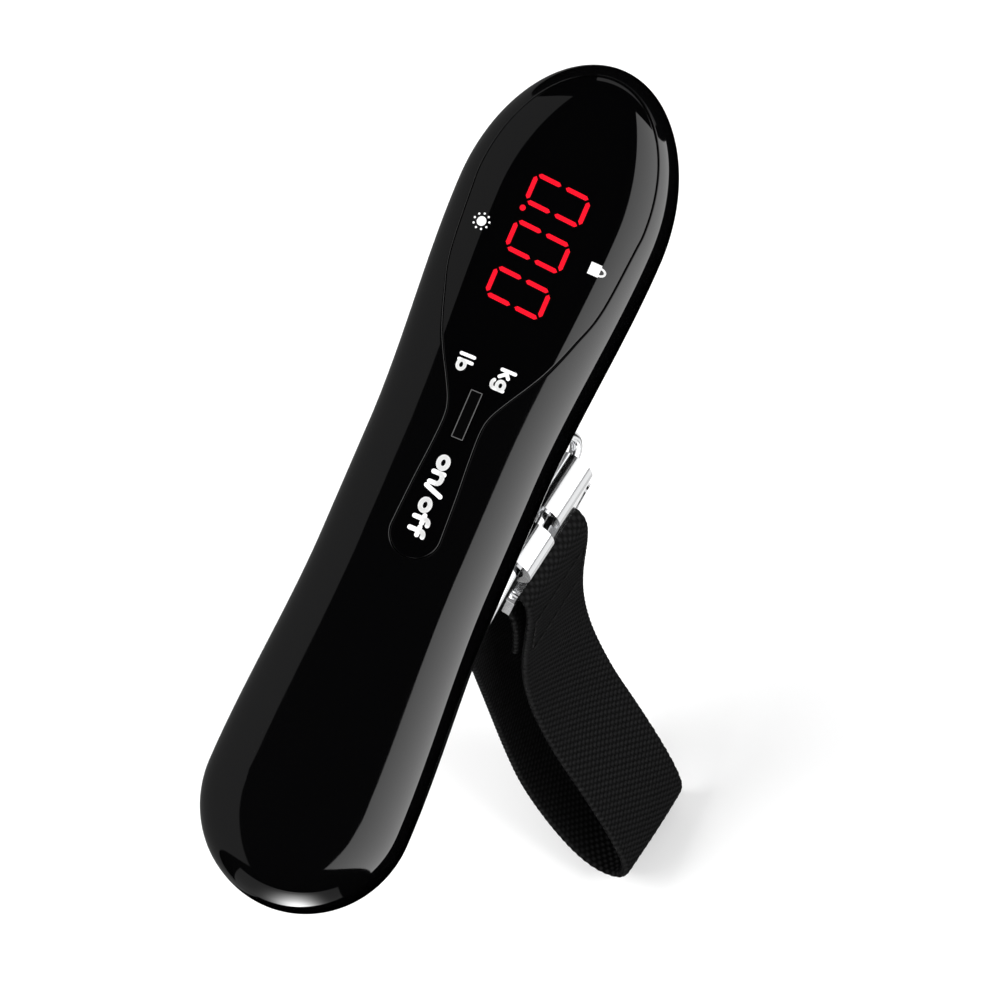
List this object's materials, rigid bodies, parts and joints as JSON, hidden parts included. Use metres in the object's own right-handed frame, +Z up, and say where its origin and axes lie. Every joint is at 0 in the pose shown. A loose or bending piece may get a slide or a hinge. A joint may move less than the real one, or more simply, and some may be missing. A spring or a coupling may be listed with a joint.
{
  "type": "digital luggage scale",
  "caption": "hand-held digital luggage scale: rounded handle with a keyhole display panel, load cell, swinging load ring, hook plate and a loop of webbing",
  "frame": {"origin": "middle of the hand grip, on the seam between the two handle shells", "axes": "X runs along the handle towards the display head, Z up through the display face, Y across the handle; the ring and strap hang below along -Z"},
  "size_m": [0.152, 0.0578, 0.1633],
  "materials": {
    "shell_gloss": "high-gloss black ABS",
    "panel_gloss": "high-gloss smoked acrylic",
    "key_gloss": "gloss black",
    "module_black": "matt black moulding",
    "digit_red": "lit red segments",
    "led_white": "lit white lamps",
    "contact_metal": "nickel-plated spring steel",
    "board_green": "solder-masked laminate",
    "beam_aluminium": "milled",
    "gauge_foil": "foil on amber film",
    "screw_steel": "zinc-plated",
    "bright_steel": "polished and chrome-plated",
    "cell_sleeve": "printed sleeve over a steel can",
    "lead_red": "PVC insulation",
    "lead_black": "PVC insulation",
    "webbing": "plain-woven black polyester webbing"
  },
  "bodies": {
    "handle": {"front_shell": "shell_gloss", "rear_shell": "shell_gloss", "display_panel": "panel_gloss", "digit_module": "module_black", "digit_segments": "digit_red", "indicator_leds": "led_white", "unit_switch": "contact_metal", "touch_spring": "contact_metal", "main_board": "board_green", "board_chips": "module_black", "load_beam": "beam_aluminium", "strain_gauges": "gauge_foil", "beam_screws": "screw_steel", "load_hook": "bright_steel", "load_hook_nut": "screw_steel", "shell_screws": "screw_steel", "battery_left": "cell_sleeve", "battery_right": "cell_sleeve", "battery_springs": "contact_metal", "battery_tabs": "contact_metal", "battery_bridge": "contact_metal", "battery_lead_red": "lead_red", "battery_lead_black": "lead_black"},
    "unit_key": {"unit_key": "key_gloss"},
    "battery_cover": {"battery_cover": "shell_gloss"},
    "load_ring": {"load_ring": "bright_steel"},
    "strap": {"hook_plate": "bright_steel", "anchor_plate": "bright_steel", "strap_webbing": "webbing"}
  },
  "joints": [
    {"name": "unit_key_press", "type": "slide", "parent": "handle", "child": "unit_key", "axis": [0, 0, -1], "range_m": [0, 0.0005], "stiffness_N_per_m": 300},
    {"name": "battery_cover_slide", "type": "slide", "parent": "handle", "child": "battery_cover", "axis": [-1, 0, 0], "range_m": [0, 0.03]},
    {"name": "ring_swing", "type": "hinge", "parent": "handle", "child": "load_ring", "pos_m": [0.004, 0, -0.02185], "axis": [1, 0, 0], "range_deg": [-30, 90]},
    {"name": "strap_swing", "type": "hinge", "parent": "load_ring", "child": "strap", "pos_m": [0.00094, -0.01089, -0.04072], "axis": [0.9903, -0.0696, -0.1205], "range_deg": [-45, 30]}
  ]
}
